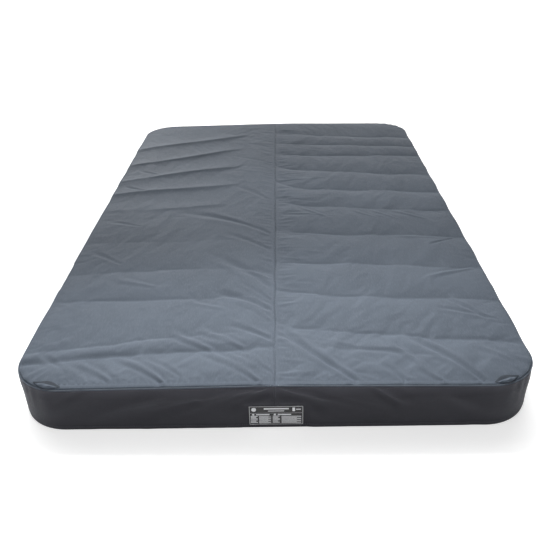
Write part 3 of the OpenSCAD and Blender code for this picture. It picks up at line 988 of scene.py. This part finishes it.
# Drag folds of the front skirt: start, end at the welt, height (negative is a valley), width, bend
SKIRT_FOLDS = [
    ((-0.36, 0.170), (-0.012, 0.228), 0.0095, 0.026, 0.02),
    ((-0.24, 0.095), (-0.010, 0.205), -0.0085, 0.026, 0.03),
    ((0.26, 0.155), (0.012, 0.228), 0.0095, 0.024, -0.02),
    ((0.26, 0.085), (0.010, 0.205), -0.0085, 0.026, -0.03),
    ((0.60, 0.120), (0.43, 0.230), 0.0075, 0.024, -0.03),
    ((0.54, 0.110), (0.40, 0.222), -0.0070, 0.018, -0.03),
    ((-0.86, 0.045), (-0.44, 0.200), 0.0060, 0.042, 0.03),
    ((-0.66, 0.040), (-0.30, 0.160), -0.0055, 0.036, 0.03),
    ((0.98, 0.050), (0.70, 0.205), 0.0060, 0.046, -0.03),
    ((-0.98, 0.120), (-0.80, 0.222), -0.0055, 0.022, 0.03),
]


def skirt_offset(p, n, s, z, top, seed):
    """How far out of the CAD outline the skirt's face stands, at height z over the hem."""
    high = np.minimum(z / top, 1)
    front = ease((-p[:, 1] - HALF_L + 0.25) / 0.2)
    along = np.minimum(s, s[-1] - s)
    off = 0.0018 + 0.0012 * value_noise(s, z, 0.15, seed) + 0.0005 * value_noise(s, z, 0.045, seed + 2)
    shoulder = 0.70 + 0.16 * value_noise(s, 0, 0.30, seed + 5)
    rise = 0.35 + 0.65 * ease(high / shoulder)
    belly = np.where(high > shoulder, ease((1 - high) / (1 - shoulder)), rise)
    off += (0.0062 + 0.0026 * value_noise(s, 0, 0.22, seed + 7)) * belly * ease(z / 0.03)
    slant = np.sin(s * 15 + 7 * high + seed) * (0.5 + 0.5 * value_noise(s, z, 0.5, 44))
    off += 0.0034 * slant * ease(high) * ease((1.02 - high) / 0.1)
    off += 0.0016 * ease((high - 0.80) / 0.2)
    fan = along / (1.14 - high)
    off += 0.0050 * np.sin(fan * 24 + 0.4) * np.exp(-fan / 0.40) * ease((high - 0.30) / 0.4) * front
    off *= 1 - 0.75 * np.exp(-((along / 0.035) ** 2)) * ease((high - 0.30) / 0.5)
    for a, b, height, width, bend in SKIRT_FOLDS:
        off += wrinkle(p[:, 0], z, a, b, height, width, bend) * front
    off += sewn_edge(p, n) * high**3
    off += 0.0016 * corner_gathers(p[:, 0] * 0.999, p[:, 1] * 0.999) * ease((high - 0.2) / 0.7)
    off += 0.0009 * ease((HEM - z) / 0.003)
    label = ease((0.17 - np.abs(p[:, 0] - LABEL_X)) / 0.04) * front * ease((0.15 - z) / 0.03)
    off = off * (1 - label) + 0.0010 * label
    room = handle_room(p, n)
    off = off * (1 - room) + 0.0006 * room
    return np.where(off < FABRIC_MIN, FABRIC_MIN * np.exp((off - FABRIC_MIN) / 0.0030), off)


def make_skirt(side_name, side):
    """The side band with its hanging skirt: an outer and an inner face, joined at the rims."""
    p, n = half_outline(side, 0.0105)
    s = np.concatenate([[0], np.cumsum(np.hypot(*np.diff(p, axis=0).T))])
    top = np.array([welt_z(x) - 0.0012 for x in p[:, 0]])
    low = [0, 0.003, 0.010, 0.016, HEM - 0.002, HEM + 0.001]
    levels = low + [top * t for t in np.linspace(0.13, 1, 22)]
    outer, inner = [], []
    for z in levels:
        off = skirt_offset(p, n, s, z, top, 40 if side < 0 else 41)
        outer.append(moved_out(p, n, off, z))
        inner.append(moved_out(p, n, 0.3 * off - 0.0028, z))
    verts = np.vstack(outer + inner[::-1])
    near_fold = 0.0003
    verts[np.abs(verts[:, 0]) < near_fold, 0] = side * near_fold
    cols, count = len(p), len(levels)
    last = (2 * count - 1) * cols
    faces = grid_faces(2 * count, cols)
    faces += [(last + c, last + c + 1, c + 1, c) for c in range(cols - 1)]
    for c in (0, cols - 1):
        for k in range(count - 1):
            a, b = k * cols + c, (k + 1) * cols + c
            d, e = last - k * cols + c, last - (k + 1) * cols + c
            faces.append((a, b, e, d) if c == 0 else (b, a, d, e))
    if side < 0:
        faces = [f[::-1] for f in faces]
    obj = add_to_half(side_name, "skirt", (verts, faces), "skirt", "side_band")
    runs = []
    for level, lift in ((3, 0.0), (4, -0.001), (count - 2, 0.0)):
        path = outer[level] + [0, 0, lift]
        points, direction = resample(path[np.abs(path[:, 0]) > 0.004], STITCH_PITCH)
        normal = unit(np.cross(direction, (0, 0, 1.0))) * side
        runs.append(stitches(points, direction, normal))
    add_to_half(side_name, "skirt_stitching", merged(runs), "thread")


def make_skirt_seam(name, end):
    """The felled seam that closes the skirt at the fold, from the hem to the welt."""
    z = np.linspace(0.001, welt_z(0) + 0.0015, 40)
    above_label = ease((z - LABEL[1].z - 0.004) / 0.03)
    path = place(0.0016, end * (HALF_L + 0.0001 + 0.0018 * above_label), z)
    tape = sweep(path, web_section(0.013, 0.0024), up=(0, end, 0))
    run = stitch_run(path[24:] + (0.0034, end * 0.0013, 0), (0, end, 0))
    add_piece(name, tape, "skirt", "right_half")
    add_piece(name + "_stitching", run, "thread", "right_half")


def make_welt(side_name, side):
    """The piped cord round a half's edge."""
    p, n = half_outline(side, 0.009)
    wobble = 0.0003 * value_noise(p[:, 0] + p[:, 1], p[:, 1], 0.05, 60)
    off = WELT_R + 0.0008 + wobble + sewn_edge(p, n)
    z = np.array([welt_z(x) for x in p[:, 0]]) + wobble
    path = moved_out(p, n, off, z)
    path[np.abs(path[:, 0]) < 0.001, 0] = side * 0.001
    add_to_half(side_name, "welt", sweep(path, round_section(WELT_R)), "welt", "piping")


# ---- the label


def plate(x0, z0, x1, z1, y, thick, corner):
    """A thin upright plate with round corners and a bevelled face, its back at y."""

    def ring(inset, y_at):
        r = max(corner - inset, 0.0003)
        points = []
        for cx, cz, start in ((x1, z0, -90), (x1, z1, 0), (x0, z1, 90), (x0, z0, 180)):
            for k in range(5):
                a = math.radians(start + 22.5 * k)
                px = cx - math.copysign(inset + r, cx - (x0 + x1) / 2) + r * math.cos(a)
                pz = cz - math.copysign(inset + r, cz - (z0 + z1) / 2) + r * math.sin(a)
                points.append((px, y_at, pz))
        return points

    rings = [ring(0, y), ring(0, y - 0.6 * thick), ring(0.4 * thick, y - thick)]
    return np.array(sum(rings, [])), tube_faces(len(rings), len(rings[0]))


def make_label():
    """A sewn vinyl label with a plain pattern of bars, discs and a border, and no lettering."""
    lo, hi = LABEL
    thick = 0.0012
    back = -HALF_L - 0.0016
    face = back - thick
    base = plate(lo.x, lo.z, hi.x, hi.z, back, thick, 0.005)
    add_piece("label_base", base, "label", "left_half", ["label"])
    parts = []

    def bar(x, z, w, h, corner=0.0006):
        """A printed bar, from the label's lower left corner, in millimetres."""
        x, z, w, h = (v * 0.001 for v in (x, z, w, h))
        parts.append(plate(lo.x + x, lo.z + z, lo.x + x + w, lo.z + z + h, face, 0.00025, corner))

    wide, tall = (hi.x - lo.x) * 1000, (hi.z - lo.z) * 1000
    for z in (2.5, tall - 4):
        bar(2.5, z, wide - 5, 1.5)
    for x in (2.5, wide - 4):
        bar(x, 2.5, 1.5, tall - 5)
    bar(5.5, 66, wide - 11, 1)
    bar(12, 76, 20, 20, 0.008)
    for x, z, w, h in ((66, 87, 108, 7), (84, 76, 70, 4), (190, 76, 11, 20), (206, 84, 20, 5)):
        bar(x, z, w, h)
    for x in (14, 108):
        bar(x, 53, 10, 10, 0.005)
        bar(x + 18, 55, 58, 6)
    for x, w, lines in ((8, 30, 6), (44, 52, 10), (104, 30, 6), (142, 86, 10)):
        pitch = 42 / lines
        for k in range(lines):
            short = 0.78 if (k * 7 + x) % 3 == 0 else 1.0
            bar(x, 47 - k * pitch, w * short, pitch * 0.55, 0.0003)
    add_piece("label_print", merged(parts), "print", "left_half")


# ---- underside


def soft_box(lo, hi, edge, step, bulge):
    """A padded bar along Y: a rounded section that swells between its ends."""
    cx, cz = (lo[0] + hi[0]) / 2, (lo[2] + hi[2]) / 2
    w, h = (hi[0] - lo[0]) / 2, (hi[2] - lo[2]) / 2
    turn = np.radians(np.arange(0, 360, 15))
    px = np.sign(np.cos(turn)) * np.abs(np.cos(turn)) ** 0.35 * w
    pz = np.sign(np.sin(turn)) * np.abs(np.sin(turn)) ** 0.35 * h
    y = np.arange(lo[1], hi[1] + 1e-6, step)
    end = np.minimum(y - lo[1], hi[1] - y)
    pull = 0.35 + 0.65 * np.sqrt(1 - (1 - np.clip(end / edge, 0, 1)) ** 2)
    rings = []
    for k, yk in enumerate(y):
        swell = 1 - bulge * (0.5 + 0.5 * math.cos(2 * math.pi * yk / PLANK_PITCH))
        z = cz + pz * (0.98 + 0.02 * swell) * pull[k]
        rings.append(place(cx + px * swell * pull[k], yk, z))
    return np.vstack(rings), tube_faces(len(y), len(turn))


def make_hinge_seal():
    """The foam sock between the two cores, quilted across at every core plank."""
    sock = soft_box(*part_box("hinge_seal"), edge=0.03, step=0.0125, bulge=0.22)
    obj = add_piece("hinge_seal_sock", sock, "liner", "left_half", ["hinge_seal"])


LINING_INSET = 0.0035   # the lining's edge, in from the CAD outline
LINING_LIFT = 0.0006    # the lining's face, up from the CAD liner's underside
LINING_THICK = 0.0016   # thickness of the lining's cloth


def lining_grid(rows, zip_lo, zip_hi):
    """Points of the right half's lining: columns down its wall, then out across the underside."""
    lo, hi = LINER
    face = lo.z
    x_end = HALF_W - LINING_INSET
    wall = list(np.linspace(hi.z, face + 0.006, 14)) + [face]
    flat = [lo.x + 0.004, (lo.x + zip_lo.x) / 2, zip_lo.x, zip_hi.x, zip_hi.x + 0.012]
    flat += list(np.linspace(zip_hi.x + 0.03, x_end, 62))
    width = np.array([half_width_at(y, LINING_INSET) for y in rows])
    short = np.clip(rows, -(HALF_L - 0.010), HALF_L - 0.010)
    points = []
    for z in wall:
        ripple = 0.0009 * value_noise(rows, z, 0.12, 70)
        points.append(place(lo.x + 0.0012 + np.abs(ripple), short, z + LINING_LIFT))
    for x in flat:
        share = (x - zip_hi.x) / (x_end - zip_hi.x)
        xs = np.where(x > zip_hi.x + 0.02, zip_hi.x + share * (width - zip_hi.x), x)
        edge = np.minimum(edge_distance(xs, rows), 0.2)
        free = ease((edge - 0.01) / 0.10) * ease((x - zip_hi.x) / 0.10)
        sag = 0.0042 * free * (0.55 + 0.45 * np.cos(rows * 2 * math.pi / PLANK_PITCH))
        sag += 0.0016 * free * value_noise(xs, rows, 0.11, 71)
        sag += 0.0006 * value_noise(xs, rows, 0.03, 72)
        points.append(place(xs, rows, face + LINING_LIFT - sag))
    return np.stack(points, 1), len(wall) + flat.index(zip_lo.x)


def make_liner(side_name, side):
    """The underside cloth, open along the zip, turned up at the fold to make the inner wall."""
    lo, hi = LINER
    zip_lo, zip_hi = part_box("right_zip")
    face = lo.z
    y_end = HALF_L - 0.003
    rows = np.unique(np.concatenate([np.linspace(-y_end, y_end, 330), [zip_lo.y, zip_hi.y]]))
    grid, slot_col = lining_grid(rows, zip_lo, zip_hi)
    cols = grid.shape[1]
    in_zip = (rows[:-1] >= zip_lo.y - 1e-4) & (rows[1:] <= zip_hi.y + 1e-4)
    faces = []
    for r, c in np.ndindex(len(rows) - 1, cols - 1):
        if c != slot_col or not in_zip[r]:
            a = r * cols + c
            faces.append((a, a + cols, a + cols + 1, a + 1))
    grid[..., 0] *= side
    if side < 0:
        faces = [f[::-1] for f in faces]
    part = grid.reshape(-1, 3), faces
    obj = add_to_half(side_name, "lining", part, "liner", "liner")
    solid = obj.modifiers.new("thickness", "SOLIDIFY")
    solid.thickness = LINING_THICK
    solid.offset = -1
    p, n = half_outline(side, 0.012)
    path = moved_out(p, n, -0.0062, face - 0.0014)
    tape = sweep(path[np.abs(path[:, 0]) > 0.030], web_section(0.006, 0.003))
    add_to_half(side_name, "lining_binding", tape, "tape")
    runs = []
    for x in (zip_lo.x - 0.003, zip_hi.x + 0.003):
        line = [(side * x, y, face - 0.0004) for y in (zip_lo.y, zip_hi.y)]
        runs.append(stitch_run(line, (0, 0, -1)))
    add_to_half(side_name, "lining_stitching", merged(runs), "thread")


TOOTH_PITCH = 0.0042    # one zip tooth to the next
TOOTH_H = 0.0022        # height of a tooth
# A tooth's corners: across, along, and 1 for the lower face
TOOTH = [(-0.0026, -0.0010, 0), (0.0022, -0.0013, 0), (0.0030, 0, 0), (0.0022, 0.0013, 0),
         (-0.0026, 0.0010, 0), (-0.0020, -0.0006, 1), (0.0018, -0.0009, 1), (0.0022, 0, 1),
         (0.0018, 0.0009, 1), (-0.0020, 0.0006, 1)]


def make_zip(side_name):
    """Two woven tapes and the interlocked teeth between them."""
    lo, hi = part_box(f"{side_name}_zip")
    x = (lo.x + hi.x) / 2
    y = np.linspace(lo.y, hi.y, 160)
    tapes = []
    for s in (-1, 1):
        tapes.append(sweep(place(x + s * 0.0078, y, hi.z - 0.0011), web_section(0.0142, 0.0011)))
    add_to_half(side_name, "zip_tapes", merged(tapes), "tape", "zip")
    around = [(k, k + 5, (k + 1) % 5 + 5, (k + 1) % 5) for k in range(5)]
    faces = [(0, 1, 2, 3, 4)] + around + [(9, 8, 7, 6, 5)]
    parts = []
    for k in range(int((hi.y - lo.y - 0.02) / TOOTH_PITCH)):
        s = 1 if k % 2 else -1
        at = (x - s * 0.0006, lo.y + 0.01 + k * TOOTH_PITCH, lo.z + TOOTH_H)
        parts.append((np.array(TOOTH) * (s, s, -TOOTH_H) + at, faces))
    add_to_half(side_name, "zip_teeth", merged(parts), "brass")


# ---- straps, handles and patches


BOX_W = 0.028           # width of the box of stitches that fastens webbing
BOX_PITCH = 0.0062      # one stitch to the next in it
LEG = (HANDLE[1].y - HANDLE[0].y - WEB_W) / 2   # a handle's leg, from the handle's middle


def box_x(centre, along, across, length, normal):
    """The square of stitches with a cross in it that fastens webbing."""
    c, u, v = (np.array(a, float) for a in (centre, along, across))
    corners = ((-1, -1), (1, -1), (1, 1), (-1, 1))
    k = [c + u * a * length / 2 + v * b * BOX_W / 2 for a, b in corners]
    runs = [(k[0], k[1]), (k[1], k[2]), (k[2], k[3]), (k[3], k[0]), (k[0], k[2]), (k[1], k[3])]
    return [stitch_run(r, normal, BOX_PITCH) for r in runs]


def make_handle(k):
    """A webbing loop: two flat legs and a grip rolled from the same webbing."""
    lo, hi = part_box(f"handle_{k}")
    side = math.copysign(1, lo.x)
    out = (side, 0, 0)
    x, mid = (lo.x + hi.x) / 2, (lo.y + hi.y) / 2
    half = (hi.y - lo.y) / 2 - WEB_W / 2
    grip_z = lo.z + 0.014
    parts = []
    for s in (-1, 1):
        z = np.linspace(hi.z, grip_z + 0.004, 16)
        bow = 0.0010 * np.sin(np.linspace(0, math.pi, 16))
        leg_y = mid + s * half
        parts.append(sweep(place(x + side * bow, leg_y, z), web_section(WEB_W, 0.0028), up=out))
        parts += box_x((x + side * 0.0017, leg_y, hi.z - 0.014), (0, 0, 1), (0, 1, 0), 0.018, out)
    t = np.linspace(-1, 1, 40)
    swell = 0.55 + 0.45 * (1 - np.abs(t) ** 6)
    sag = 1 - t**2
    path = place(x + side * 0.0012 * sag, mid + t * (half + WEB_W / 2), grip_z - 0.003 * sag)
    parts.append(sweep(path, round_section(0.0125, 16, 0.46), up=out, scale=swell))
    parts.append(stitch_run(path[3:-3] + (side * 0.0058, 0, 0.004), out))
    name = f"handle_{k}"
    add_piece(name + "_webbing", merged(parts), "webbing", name, [name])


def make_strap(k):
    """A tie-down strap on the floor: flat webbing whose end turns back through the buckle."""
    lo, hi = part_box(f"strap_{k}")
    side = math.copysign(1, lo.x)
    outer, inner = (hi.x, lo.x) if side > 0 else (lo.x, hi.x)
    y = (lo.y + hi.y) / 2
    t = np.linspace(0, 1, 60)
    x = outer - side * 0.001 + (inner - outer) * t
    z = 0.0013 + 0.0035 * ease(t * 3) * ease((1 - t) * 6) * (0.5 - 0.5 * np.cos(t * 9))
    web = sweep(place(x, y + 0.001 * np.sin(t * 5), z), web_section(WEB_W, 0.0020))
    tail_t = np.linspace(0, 1, 30)
    tail_x = inner + side * (0.004 + 0.085 * tail_t)
    order = np.argsort(x * side)
    tail_z = 0.0040 + np.interp(tail_x * side, x[order] * side, z[order]) + 0.0006 * tail_t
    tail = sweep(place(tail_x, y, tail_z), web_section(WEB_W - 0.001, 0.0020))
    loop = [(-0.0205, 0.0012), (-0.0215, 0.0045), (-0.0205, 0.0082)]
    loop += [(-a, b) for a, b in loop[::-1]]
    keeper = [(inner + side * 0.070, y + a, b) for a, b in loop]
    band = sweep(keeper, web_section(0.010, 0.0012), up=(side, 0, 0.001))
    middle = (outer - side * 0.03, y, float(z[8]) + 0.0012)
    box = box_x(middle, (1, 0, 0), (0, 1, 0), 0.03, (0, 0, 1))
    name = f"strap_{k}"
    add_piece(name + "_webbing", merged([web, tail, band] + box), "webbing", name, [name])


def make_patches(side_name, side):
    """The stitched-down webbing ends over the handles outside, and over the straps inside."""
    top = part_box(f"{side_name}_sewn_patches")[1].z
    strap_y = (STRAP[0].y + STRAP[1].y) / 2
    leg_ys = [s * HANDLE_Y + l * LEG for s in (-1, 1) for l in (-1, 1)]
    spots = [(HALF_W + 0.0035, y, top - 0.0273, top, 1) for y in leg_ys]
    spots += [(HALF_W - 0.0048, s * strap_y, 0.006, 0.064, -1) for s in (-1, 1)]
    parts = []
    for y in leg_ys:
        path = [(side * (HALF_W + 0.0018), y, z) for z in (top - 0.0294, top - 0.010)]
        parts.append(sweep(path, web_section(WEB_W, 0.0010), up=(side, 0, 0)))
    for x, y, z0, z1, out in spots:
        up = (side * out, 0, 0)
        bow = 0.0012 * np.sin(np.linspace(0, math.pi, 10))
        path = place(side * (x + out * bow), y, np.linspace(z0, z1, 10))
        parts.append(sweep(path, web_section(WEB_W, 0.0022), up=up))
        middle = (side * (x + out * 0.0026), y, (z0 + z1) / 2)
        parts += box_x(middle, (0, 0, 1), (0, 1, 0), (z1 - z0) * 0.72, up)
    add_to_half(side_name, "webbing_patches", merged(parts), "webbing", "sewn_patches")


# ---- everything is made here

top_skin, skin_grid, edge_rings = make_top_skin()
declare_top_skin(top_skin)
make_seam_strip(skin_grid, edge_rings)
make_edge_stitching(edge_rings)
for (px, half), (side_name, side) in zip(PLEATS, HALVES):
    make_pleat(side_name, px, half, edge_rings)
for side_name, side in HALVES:
    make_skirt(side_name, side)
    make_welt(side_name, side)
    make_liner(side_name, side)
    make_zip(side_name)
    make_patches(side_name, side)
make_skirt_seam("front_skirt_seam", -1)
make_skirt_seam("back_skirt_seam", 1)
make_label()
make_hinge_seal()
for k in (1, 2, 3, 4):
    make_handle(k)
    make_strap(k)

# ---- carried-over CAD nodes

# Which look a CAD node gets: the first of these that its name holds
CAD_LOOKS = [
    ("plank", "foam"), ("barrier", "film"), ("channel", "channel"), ("liner", "liner"),
    ("hinge_seal", "liner"), ("zip_", "brass"), ("zip", "tape"), ("buckle", "clip"),
    ("lock", "clip"), ("label", "label"), ("", "webbing"),
]
# Width of the rounded edges of the hard parts
SOFT_EDGES = {"clip": 0.0011, "brass": 0.0004}

for name, node in frame["nodes"].items():
    kind = next(look for part, look in CAD_LOOKS if part in name)
    node.data.materials.clear()
    node.data.materials.append(MAT[kind])
    if kind in SOFT_EDGES:
        bevel = node.modifiers.new("soft_edges", "BEVEL")
        bevel.width = SOFT_EDGES[kind]
        bevel.segments = 3
        bevel.limit_method = "ANGLE"

# ---- floor, light and camera

WORLD_LOW = 0.34        # the studio's brightness away from its bright side
WORLD_HIGH = 4.7        # and in the middle of it
FLOOR_HALF = 30.0       # half the floor's side
FLOOR_DROP = 0.0005     # the floor lies this far under the hems


def make_stage():
    """A white floor that gives off a little light of its own."""
    m = Material("studio_floor", 0.9)
    m.colour(m.mix(m.noise(2.0, 2), (0.80, 0.80, 0.80), (0.84, 0.84, 0.84)))
    m.set(Emission_Color=(1, 1, 1), Emission_Strength=0.5)
    corners = [(a * FLOOR_HALF, b * FLOOR_HALF, 0) for a, b in ((-1, -1), (1, -1), (1, 1), (-1, 1))]
    floor = new_mesh("studio_floor", corners, [(0, 1, 2, 3)], m.material, smooth=False)
    floor.location.z = -FLOOR_DROP


def area_light(name, spot, target, size, power, spread):
    """A softbox at spot that faces target."""
    data = bpy.data.lights.new(name, "AREA")
    data.shape = "RECTANGLE"
    data.size, data.size_y = size
    data.energy = power
    data.spread = math.radians(spread)
    obj = new_object(name, data)
    obj.location = spot
    obj.rotation_euler = (Vector(target) - Vector(spot)).to_track_quat("-Z", "Y").to_euler()


def make_world():
    """An even white studio, brightest high over the far end and dimmer behind the camera."""
    world = bpy.data.worlds.new("studio")
    nodes = Nodes(world, "Background", "Generated")
    facing = nodes.add("ShaderNodeVectorMath", operation="DOT_PRODUCT")
    nodes.feed(facing.inputs[0], nodes.coords)
    nodes.feed(facing.inputs[1], Vector((-0.16, 0.90, 0.38)).normalized())
    limits = {"From Min": 0.60, "From Max": 0.98, "To Min": WORLD_LOW, "To Max": WORLD_HIGH}
    level = nodes.remap(facing.outputs["Value"], interpolation_type="SMOOTHSTEP", **limits)
    seen = nodes.add("ShaderNodeLightPath").outputs["Is Camera Ray"]
    shown = nodes.add("ShaderNodeMix", Factor=seen, A=level, B=1.0).outputs["Result"]
    nodes.set(Strength=shown, Color=(1, 1, 1))
    bpy.context.scene.world = world


def make_camera():
    """Standing height in front of the cover's near end, looking down along it."""
    data = bpy.data.cameras.new("camera")
    data.lens = 42.6
    obj = new_object("camera", data)
    pitch, yaw, roll = (math.radians(a) for a in (29.76, -0.69, -1.14))
    turn = Matrix.Rotation(-yaw, 4, "Z") @ Matrix.Rotation(math.pi / 2 - pitch, 4, "X")
    turn = turn @ Matrix.Rotation(roll, 4, "Z")
    obj.matrix_world = Matrix.Translation((0.039, -4.033, 2.005)) @ turn
    bpy.context.scene.camera = obj


make_stage()
make_world()
area_light("near_softbox", (-0.4, 0.1, 2.5), (0, -2.00, 0.2), (2.6, 0.6), 23, spread=56)
area_light("middle_softbox", (0.2, 0.15, 1.9), (0.2, 0.15, 0.2), (2.0, 0.6), 2.3, spread=66)
area_light("front_softbox", (-0.9, -4.8, 2.8), (0, -1.9, 0.15), (1.6, 0.8), 10, spread=100)
area_light("far_softbox", (-1.9, 3.1, 1.0), (-0.7, 1.0, 0.25), (0.9, 0.4), 3.4, spread=60)
make_camera()
bpy.context.scene.view_settings.view_transform = "Standard"
